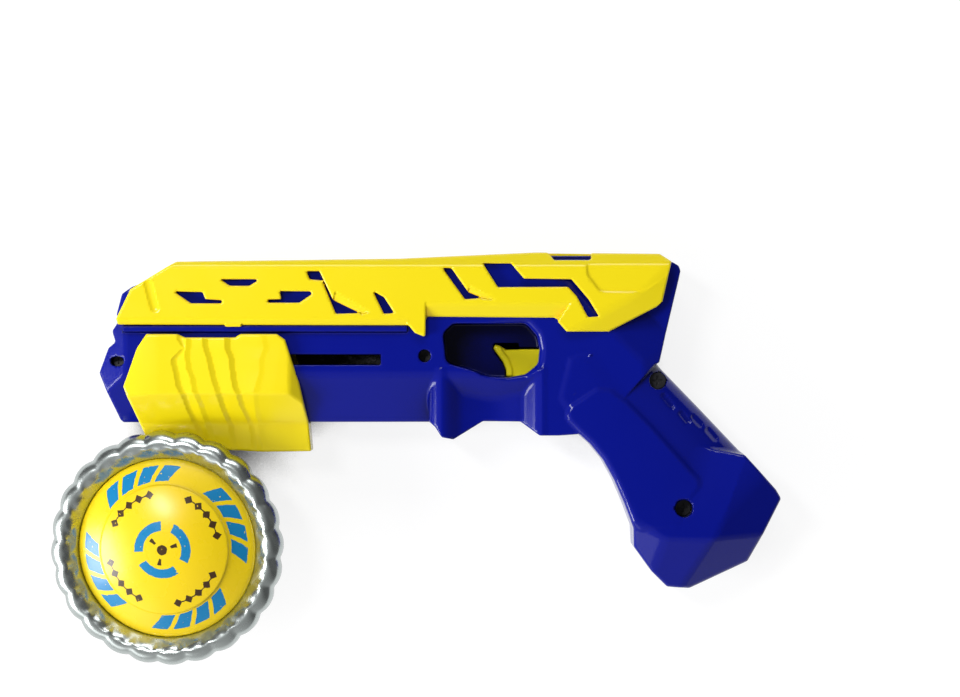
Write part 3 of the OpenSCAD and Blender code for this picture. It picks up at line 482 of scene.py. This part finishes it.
def housing_half(x, y, z, left):
    """The whole shell, with its chambers, its bores and what is sunk into its face."""
    outside = housing_outside(x, y, z)
    for start, end in dents:
        dent = np.hypot(line_distance(x, y, start, end), outside - dent_height) - dent_r
        outside = both(outside, -dent, 0.4)
    for px, py in pips:
        pip = np.sqrt((x - px) ** 2 + (y - py) ** 2 + (z - flank + pip_sunk) ** 2) - pip_r
        outside = either(outside, pip, 0.1)
    lip = 0.5 + 2 * np.clip((x - 128) / 14, 0, 1)
    opening = both(inside(x, y, opening_line), web - z, 0.5)
    form = both(outside, -opening, lip)
    rooms = both(brick(x, y, z, *drive_room), beyond(y, z, *drive_slope), 0)
    for room in (bar_room, bar_passage, trigger_room):
        rooms = np.minimum(rooms, brick(x, y, z, *room))
    for (wx, wy), r, seat in wells:
        rooms = np.maximum(rooms, -round_bar(x, y, (wx, wy), r + 2))
    form = np.maximum(form, -rooms)
    form = both(form, -brick(x, y, z, *slot), 0.25)
    form = np.maximum(form, -np.maximum(inside(x, y, trigger_way), z - trigger_way_half))
    for (start, end), r, height in nose_bores:
        length = np.abs(x - (start + end) / 2) - (end - start) / 2
        form = both(form, -np.maximum(round_bar(y, z, (height, 0), r), length), 0.2)
    for (wx, wy), r, seat in wells:
        shaft = np.maximum(round_bar(x, y, (wx, wy), screw_bore_r), z - (20 if left else seat + 1))
        form = np.maximum(form, -shaft)
        if left:
            at_nose = wx < 9
            reach = np.maximum(np.abs(x - wx) - (oval_well_reach if at_nose else 0), 0)
            well = np.hypot(reach, y - wy) - (oval_well_r if at_nose else r)
            form = both(form, -np.maximum(well, seat - z), 0.3)
    return both(form, -z, 0.2)


cell = 0.7
for side, name in ((1, "left_housing"), (-1, "right_housing")):
    def half(x, y, z, left=side > 0):
        return housing_half(x, y, z, left)
    points, quads, normals = skin(half, (-1, -73, -0.5), (227, 39, 17.5), cell)
    shell = lay(name + "_shell", points, quads, blue_abs, normals, side)
    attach(shell, "frame")
    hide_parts(name)

# Housing screws: black self-tapping screws with a cross recess, deep in the left half's wells.
# The front and rear bearings are plain bushes of undyed nylon pressed into the shells.
def metal(name, colour, rough):
    """Bare or plated metal with uneven polish."""
    material, place = start_material(name)
    smear = place.noise(240.0, 5.0)
    bump = place.node("Bump", {}, Strength=0.1, Distance=0.01 * MM, Height=smear)
    finish_material(place, Base_Color=(*colour, 1), Metallic=1.0, Roughness=rough + smear * 0.15,
                    Normal=bump)
    return material


def finish_node(name, material, edge):
    """A part of the frame is right as it is: it gets its material and broken edges."""
    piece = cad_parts[name]
    if not piece.material_slots:
        piece.data.materials.append(material)
    for slot in piece.material_slots:
        slot.link = "OBJECT"
        slot.material = material
    weld = piece.modifiers.new("weld", "WELD")
    weld.merge_threshold = 0.002 * MM
    flat = piece.modifiers.new("flat", "DECIMATE")
    flat.decimate_type = "DISSOLVE"
    flat.angle_limit = math.radians(1)
    bevel = piece.modifiers.new("edge", "BEVEL")
    bevel.width = edge * MM
    bevel.segments = 2
    bevel.limit_method = "ANGLE"
    bevel.angle_limit = math.radians(30)
    smooth = piece.modifiers.new("smooth", "WEIGHTED_NORMAL")
    smooth.keep_sharp = False


screw_metal = metal("blackened_steel", (0.05, 0.05, 0.055), 0.35)
# The second colour is the painted shade in creases.
nylon = glossy_plastic("undyed_nylon", (0.78, 0.75, 0.66), (0.7, 0.66, 0.57), 0.3)
for name in ("housing_screws", "pump_screws", "top_screws"):
    finish_node(name, screw_metal, 0.08)
for name in ("front_bearing", "rear_bearing", "muzzle_socket", "pump_carriage"):
    finish_node(name, nylon, 0.15)

# Covers: a yellow windowed plate on each flank, folded over the top of the housing and
# clipped to it. Bright yellow ABS, moulded in one shot with bevelled lower edges.
# The second, orange colour is the painted shade in creases.
yellow_abs = glossy_plastic("yellow_plastic", (0.83, 0.68, 0.006), (0.81, 0.47, 0.004), 0.16)
cover_line = turned(of_launcher(
    (0.03, 0.141), (0.028, 0.158), (0.049, 0.246), (0.115, 0.328), (0.265, 0.332),
    (0.44, 0.337), (0.64, 0.356), (0.722, 0.354), (0.82, 0.352), (0.837, 0.329),
    (0.823, 0.201), (0.746, 0.12), (0.684, 0.12), (0.666, 0.161), (0.48, 0.164),
    (0.479, 0.107), (0.475, 0.106), (0.463, 0.116), (0.454, 0.138)), 0.5, 2)
windows = [turned(of_launcher(*shares), 0.3, 2) for shares in (
    ((0.112, 0.239), (0.154, 0.237), (0.158, 0.216), (0.182, 0.213), (0.182, 0.204), (0.137, 0.204)),
    ((0.179, 0.275), (0.233, 0.275), (0.233, 0.269), (0.222, 0.256), (0.194, 0.256)),
    ((0.266, 0.24), (0.311, 0.239), (0.313, 0.231), (0.295, 0.206), (0.249, 0.206), (0.249, 0.215),
     (0.269, 0.216)),
    ((0.305, 0.299), (0.324, 0.299), (0.344, 0.213), (0.383, 0.175), (0.348, 0.173), (0.328, 0.272),
     (0.31, 0.275)),
    ((0.402, 0.24), (0.418, 0.222), (0.433, 0.175), (0.418, 0.173)),
    ((0.503, 0.309), (0.516, 0.308), (0.541, 0.236), (0.561, 0.22), (0.536, 0.216)),
    ((0.562, 0.322), (0.603, 0.322), (0.622, 0.277), (0.691, 0.275), (0.716, 0.215), (0.731, 0.165),
     (0.715, 0.163), (0.699, 0.224), (0.686, 0.253), (0.584, 0.252)))]
slit = of_launcher((0.651, 0.37), (0.72, 0.37), (0.72, 0.336), (0.717, 0.332), (0.666, 0.332))
rear_pad = turned(on_sheet((598, 248), (587, 265.5), (588, 275), (600, 291), (640, 292),
                           (666, 276), (675, 250)), 3)
cover_face, rear_pad_face, slit_floor = 18, 17.7, 3
window_floor, ramp_floor = 14.4, 17
roof_slope = (34.97, 18), (39.96, 13.3)
foot_slope = (18.2, 16.2), (22.3, 18)
foot_slope_front, foot_slope_back = 108.3, ((151, 16), (158, 26))
front_foot_slope, front_foot_back = ((15.4, 17.1), (17.2, 18)), 102
rear_facets = (((662.6, 278.7), (638, 293), (661.5, 304.2), 16),
               ((638, 293), (611.5, 322.6), (640, 316), 16.6))
nose_crease = on_sheet((149.5, 284), (156, 308))
catch = (42.2, 14.9, 15.5), (47.6, 16.5, 17.3)
strip_room = (6.8, 12.2, -1), (102.4, 15.43, 16.45)
window_ramps = (((336, 292.5), (370, 312), (362, 314), (333.5, 300.5), (347, 306.9)),
                ((469, 285.5), (494, 299.5), (482, 298.5), (468.5, 292.6), (476, 295.5)))


def cover_form(x, y, z):
    """One cover half."""
    form = both(z - cover_face, beyond(y, z, *roof_slope), 0.6)
    foot = np.maximum(-beyond(y, z, *foot_slope),
                      np.maximum(foot_slope_front - x, -beyond(x, y, *foot_slope_back)))
    form = both(form, -foot, 0.4)
    front_foot = np.maximum(-beyond(y, z, *front_foot_slope), x - front_foot_back)
    form = both(form, -front_foot, 0.3)
    for a, b, c, low in rear_facets:
        form = both(form, tilted(x, y, z, ((a, cover_face), (b, cover_face), (c, low))), 0.5)
    form = both(form, -both(rear_pad_face - z, inside(x, y, rear_pad), 0.3), 0.8)
    painted_crease_shade = line_distance(x, y, *nose_crease)
    form = both(form, -(np.hypot(painted_crease_shade, (z - cover_face) * 4) - 1.2), 0.5)
    form = both(form, inside(x, y, cover_line), 0.6)
    form = either(form, brick(x, y, z, *catch), 0.2)
    under = np.maximum(inside(x, y, barrel), z - flank)
    under = np.minimum(under, brick(x, y, z, *strip_room))
    form = both(form, -under, 0.1)
    for a, b, c, d, low in window_ramps:
        slope = tilted(x, y, z, ((a, cover_face), (b, cover_face), (low, 17.2)))
        ramp = np.maximum(inside(x, y, on_sheet(a, b, c, d)), -slope)
        form = both(form, -np.maximum(ramp, ramp_floor - z), 0.4)
    hole = 9
    for window in windows:
        hole = np.minimum(hole, inside(x, y, window))
    form = both(form, -np.maximum(hole, window_floor - z), 0.45)
    form = both(form, -np.maximum(inside(x, y, slit), slit_floor - z), 0.3)
    return both(form, -z, 0.15)


def press(name, body, material, form, low, high, cell, suffix):
    """Both mirrored halves of one form, each in place of its node."""
    points, quads, normals = skin(form, low, high, cell)
    for side, hand in ((1, "left_"), (-1, "right_")):
        piece = lay(hand + name + suffix, points, quads, material, normals, side)
        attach(piece, body)
        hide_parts(hand + name)


press("cover", "frame", yellow_abs, cover_form, (5, 10.5, -0.5), (191, 41, 18.5),
      cell * 0.8, "_moulding")

# Pump grip: two yellow halves screwed together under the barrel, from the right. The
# fingers pull it back by five overlapping steps that run down the flank in wavy lines.
pump_line = turned(of_launcher(
    (0.072, 0.113), (0.058, 0.071), (0.038, -0.043), (0.057, -0.148), (0.074, -0.229),
    (0.204, -0.236), (0.239, -0.24), (0.31, -0.238), (0.306, -0.147), (0.294, -0.032),
    (0.274, 0.096), (0.262, 0.113), (0.209, 0.113), (0.201, 0.103), (0.128, 0.103),
    (0.117, 0.113)), 0.5, 2)
pump_face, pump_foot, pump_bend, pump_knee = 18, (-27.6, 6.2), (-17.05, 8.3), (-7.3, 18)
pump_front = (6.8, 16.6), (16.5, 18)
pump_back = (63.4, 18), (71.2, 12.6)
room_foot, room_side, room_slope = -17.05, 15.8, ((-17.05, 6.87), (-1, 15.8))
lug_notch = (44.95, 2.35, -1), (57.1, 5.75, 16.8)
step_run, last_step = 1.9, 6
steps = [(height, np.array(on_sheet(*line))[::-1]) for height, line in (
    (0.95, ((178, 330), (178, 339), (183.9, 347.9), (178, 353.7), (171.4, 359.6), (174.3, 371.3),
            (176.5, 384.5), (182.4, 396.3), (185.3, 408), (191.2, 422.7), (195.6, 431.5), (202, 452))),
    (0.5, ((186, 330), (187, 345), (185.3, 353.7), (186.8, 368.4), (191.2, 378.7), (192.7, 390.4),
           (197.8, 402.1), (201.5, 416.8), (205.9, 431.5), (211, 452))),
    (0.8, ((203, 330), (203.7, 346.4), (207.4, 358.1), (209.6, 368.4), (211.8, 378.7), (214.7, 387.5),
           (217.6, 397.7), (220.6, 409.5), (226.4, 425.6), (227.9, 435.9), (230, 452))),
    (0.8, ((225, 330), (225.7, 349.3), (229.4, 358.1), (230.8, 371.3), (233, 386), (236.7, 394.8),
           (239.6, 406.5), (245.5, 419.7), (248.4, 431.5), (250, 452))),
    (0.18, ((260, 330), (264.6, 347.9), (260.2, 358.1), (260, 371.3), (254, 392), (254.3, 411),
            (258.7, 437.4), (262, 452))))]


def step_depth(x, y):
    """How deep the overlapping finger steps are sunk at a place on the flank."""
    lines = [np.interp(y, points[:, 1], points[:, 0]) for _, points in steps]
    depth = 0
    for i, (height, _) in enumerate(steps):
        ahead = lines[i + 1] - lines[i] if i + 1 < len(steps) else last_step
        t = (x - lines[i]) / ahead
        rise = np.clip(t * ahead / step_run, 0, 1) * np.clip(1.02 - t, 0, 1)
        depth = depth + height * rise * (t > 0)
    return depth


def pump_form(x, y, z):
    """One pump grip half."""
    flared = either(beyond(y, z, pump_bend, pump_knee), beyond(y, z, pump_foot, pump_bend), 0.4)
    faces = both(z - pump_face, flared, 0.5)
    faces = faces + step_depth(x, y) * 0.85
    faces = both(faces, both(beyond(x, z, *pump_front), beyond(x, z, *pump_back), 0), 0.6)
    form = both(faces, inside(x, y, pump_line), 0.7)
    barrel_room = np.maximum(np.maximum(room_foot - y, z - room_side), beyond(y, z, *room_slope))
    form = both(form, -barrel_room, 0.15)
    form = np.maximum(form, -brick(x, y, z, *lug_notch))
    return both(form, -z, 0.2)


press("pump_grip", "pump", yellow_abs, pump_form, (7, -28, -0.5), (71, 14, 18.5),
      cell * 0.7, "_moulding")

# Drive: a twisted steel bar through a dark nut. The pump pulls the nut along the bar, which
# turns the spindle, and a plated spring round the bar sends the pump back to the front.
# The second colour is the painted shade in creases.
black_plastic = glossy_plastic("black_plastic", (0.02, 0.02, 0.022), (0.012, 0.012, 0.014), 0.3)
bar_steel = metal("drawn_steel", (0.5, 0.5, 0.52), 0.25)
spring_steel = metal("plated_wire", (0.62, 0.62, 0.63), 0.2)
for name in ("drive_nut", "trigger_bar", "rocker", "ejector_rod", "top_base"):
    finish_node(name, black_plastic, 0.2)
for name in ("drive_screw", "retaining_clip", "rocker_pin", "top_flywheel", "top_tip"):
    finish_node(name, bar_steel, 0.1)


def coil(name, front, back, height, radius, wire, curls):
    """A compression spring along X, closed at both ends."""
    rings, sides = curls * 28, 10
    length = back - front
    points, faces = [], []
    for i in range(rings + 1):
        t = i / rings
        along = np.interp(t * curls, (0, 1, curls - 1, curls),
                          (0, wire, length - 2 * wire, length - wire))
        turn = 2 * math.pi * t * curls
        out = np.array((0, math.cos(turn), math.sin(turn)))
        for k in range(sides):
            a = 2 * math.pi * k / sides
            middle = np.array((front + wire / 2 + along, height, 0))
            points.append(middle + out * (radius + wire / 2 * math.cos(a))
                          + np.array((wire / 2 * math.sin(a), 0, 0)))
    for i in range(rings):
        for k in range(sides):
            a, b = i * sides + k, i * sides + (k + 1) % sides
            faces.append((a, b, b + sides, a + sides))
    piece = lay(name + "_wire", points, faces, spring_steel)
    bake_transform(piece)
    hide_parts(name)


coil("drive_spring", front=28, back=99.15, height=-6, radius=4.9, wire=1, curls=16)
coil("trigger_spring", front=157.87, back=166.67, height=3.1, radius=2.6, wire=0.7, curls=6)

# Trigger: a short blade with a raised, curved pad in front for the fingertip, in a yellow made
# lighter than the covers' as painted light, to brighten it in its shaded well.
# Painted light: a brightened copy of the yellow that stands in for light the deep well keeps from the
# trigger.
trigger_painted_light_yellow = glossy_plastic("trigger_plastic_painted_light", (0.98, 0.85, 0.008), (0.95, 0.7, 0.006), 0.16)
trigger_line = turned(of_launcher(
    (0.58, 0.081), (0.589, 0.076), (0.596, 0.066), (0.622, 0.068), (0.672, 0.068),
    (0.672, -0.012), (0.612, -0.015), (0.597, -0.014), (0.5965, 0.006), (0.592, 0.03),
    (0.583, 0.055), (0.578, 0.07)), 0.5, 3)
blade_half, pad_half, pad_t = 3.4, 4, 2.2
bar_notch = (148.8, 0.65, -2.45), (152.9, 5.55, 2.45)
trigger_front = of_launcher((0.597, -0.014), (0.5965, 0.006), (0.592, 0.03), (0.583, 0.055),
                            (0.58, 0.081))


def trigger_form(x, y, z):
    """The trigger, both sides at once."""
    pad = 9
    for start, end in zip(trigger_front, trigger_front[1:]):
        pad = np.minimum(pad, line_distance(x, y, start, end))
    form = both(np.abs(z) - blade_half, inside(x, y, trigger_line), 0.5)
    pad = both(both(np.abs(z) - pad_half, pad - pad_t, 0.8), inside(x, y, trigger_line), 0.8)
    form = either(form, pad, 0.3)
    return np.maximum(form, -brick(x, y, z, *bar_notch))


points, quads, normals = skin(trigger_form, (130, -2, -4.2), (152.2, 9.4, 4.2), cell * 0.6)
trigger = lay("trigger_blade", points, quads, trigger_painted_light_yellow, normals)
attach(trigger, "trigger_assembly")
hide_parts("trigger")

# The top lies on its tip and one point of its rim. Its ring is vacuum-metallised plastic
# with 24 lobes, and a fluted slope that falls to the dome.
tip_place = Vector((25.3, -56.4, -18))
lean_way, lean = math.radians(212.7), math.atan(2.6 / 21)
standing = Matrix.Translation(tip_place + nose_to_frame) \
    @ Matrix.Rotation(lean_way, 4, "Z") @ Matrix.Rotation(lean, 4, "Y")
standing.translation *= MM


def spun(name, profile, turns, material, closed=True):
    """A turned piece on the top's own axis: profile(angle) gives its section as (r, z) points."""
    points, faces = [], []
    for i in range(turns):
        angle = 2 * math.pi * i / turns
        rows = profile(angle)
        points += [standing @ (Vector((r * math.cos(angle), r * math.sin(angle), z)) * MM)
                   for r, z in rows]
    count = len(rows)
    for i in range(turns):
        for k in range(count if closed else count - 1):
            a, b = i * count + k, i * count + (k + 1) % count
            c, d = (i + 1) % turns * count + (k + 1) % count, (i + 1) % turns * count + k
            faces.append((a, d, c, b))
    mesh = bpy.data.meshes.new(name)
    mesh.from_pydata(points, [], faces)
    mesh.shade_smooth()
    mesh.set_sharp_from_angle(angle=math.radians(50))
    mesh.materials.append(material)
    piece = bpy.data.objects.new(name, mesh)
    bpy.context.scene.collection.objects.link(piece)
    return piece


lobes, lobe_r, lobe_depth = 24, 38.95, 1.15
ring_bore, ring_foot, slope_foot_r = 29.86, 25.62, 30.3


def ring_section(angle):
    """The ring's section at an angle: foot, lobed side, crest and fluted inner slope."""
    half_lobe = 180 / lobes
    lobe = abs((math.degrees(angle) + half_lobe) % (2 * half_lobe) - half_lobe) / half_lobe
    outer = lobe_r - lobe_depth * lobe ** 2
    flute = 0.5 + 0.5 * math.cos(lobes * angle)
    crest = outer - 3.6
    rows = [(ring_bore, ring_foot), (outer - 1, ring_foot), (outer - 0.3, 25.9), (outer, 26.6),
            (outer, 29), (outer - 0.35, 30.6), (outer - 1.1, 31.6), (outer - 2.2, 32.4),
            (crest, 32.9), (crest - 0.9, 32.75)]
    for t in (0.15, 0.3, 0.45, 0.6, 0.75, 0.9, 1):
        r = (crest - 0.9) * (1 - t) + slope_foot_r * t
        bead = math.sin(math.pi * min(t * 1.05, 1)) * (1.1 * flute - 0.35)
        rows.append((r, 32.75 - 3.6 * t ** 1.1 + bead))
    return rows + [(ring_bore, 28.4)]


silver = metal("silver_film", (0.45, 0.49, 0.48), 0.2)
ring = spun("top_silver_ring", ring_section, 360, silver)
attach(ring, "spinning_top")
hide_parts("top_ring")

# The dome is yellow ABS with a raised middle. Its face is pad-printed in blue and dark brown
# with a plain pattern: four groups of slanted bars, rows of small diamonds, a broken ring.
ball_r = 59.5
dome_top = 37
face_edge, rim_start, rim_r = 21.3, 29, 29.7
dome_t = 2.7


def dome_section(angle):
    """The dome's outer face from the middle to the edge, and back along its inside."""
    rows = []
    for r in (0.01, 3, 6, 9, 12, 15, 18, 20, 21, 21.3, 21.45, 21.6, 21.9, 24, 26, 28, 29, 29.5, 29.7):
        sunk = (0.7 * np.clip((r - face_edge) / 0.3, 0, 1)
                + 0.5 * np.clip((r - rim_start) / 0.7, 0, 1) ** 2)
        rows.append((r, dome_top - ball_r + math.sqrt(ball_r ** 2 - r ** 2) - sunk))
    rows += [(rim_r, 24.1), (27.8, 24.1), (27.8, 28)]
    return rows + [(r, dome_top - ball_r - dome_t + math.sqrt(ball_r ** 2 - r ** 2))
                   for r in (27, 20, 10, 0.01)]


full_turn, degrees = 360, 180 / math.pi
dome_yellow, place = start_material("printed_yellow_plastic")
place = place.node("Mapping", {"vector_type": "TEXTURE"}, place, tuple(standing.translation),
                   tuple(standing.to_euler()))
speckle = place.node("TexNoise", {}, Vector=place, Scale=900, out="Color")
warped = place.node("VectorMath", {"operation": "ADD"}, place, place.node(
    "VectorMath", {"operation": "SCALE"}, speckle, Scale=0.5 * MM))
flat_place = place.node("VectorMath", {"operation": "MULTIPLY"}, warped, (1 / MM, 1 / MM, 0))
radius = place.node("VectorMath", {"operation": "LENGTH"}, flat_place, out="Value")
angle = place.math("ARCTAN2", place.node("SeparateXYZ", {}, flat_place, out="Y"),
                   place.node("SeparateXYZ", {}, flat_place, out="X")) * degrees + 2 * full_turn
in_group = place.math("MODULO", angle + radius * 1.6, full_turn / 4)
bars = ((place.math("MODULO", in_group, 15.5) < 11.5) * (in_group < 60)
        * (radius > 22.3) * (radius < 27.3))
in_row = place.math("MODULO", angle + 24, full_turn / 4)
off_middle = place.math("ABSOLUTE", place.math("MODULO", in_row, 12) - 6)
from_diamond = off_middle * radius * (1 / degrees)
from_row = place.math("ABSOLUTE", radius - 18.4)
diamonds = (in_row < 60) * place.math(
    "MAXIMUM", (from_diamond + from_row) < 1.5, (from_row < 0.2) * (in_row > 6) * (in_row < 54))
third = place.math("MODULO", angle, full_turn / 3)
broken_ring = (radius > 6.4) * (radius < 9.4) * (third < 92)
strokes = (radius > 3) * (radius < 5.2) * (third > 38) * (third < 54)
ticks = place.math("MAXIMUM", radius < 1.7, strokes)
worn = place.noise(900.0, 3.0) > 0.3
blue_ink = place.math("MAXIMUM", bars, broken_ring) * worn
dark_ink = place.math("MAXIMUM", diamonds, ticks) * worn
yellow_base = (place.noise(60.0, 3.0) * 0.7).mix((0.8, 0.6, 0.006, 1), (0.76, 0.5, 0.005, 1))
printed = dark_ink.mix(blue_ink.mix(yellow_base, (0.006, 0.19, 0.42, 1)), (0.05, 0.025, 0.008, 1))
finish_material(place, Base_Color=printed, Roughness=0.22 + place.noise(90.0, 4.0) * 0.1,
                Specular_IOR_Level=0.4)
dome = spun("top_printed_dome", dome_section, 192, dome_yellow, closed=False)
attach(dome, "spinning_top")
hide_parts("top_dome")
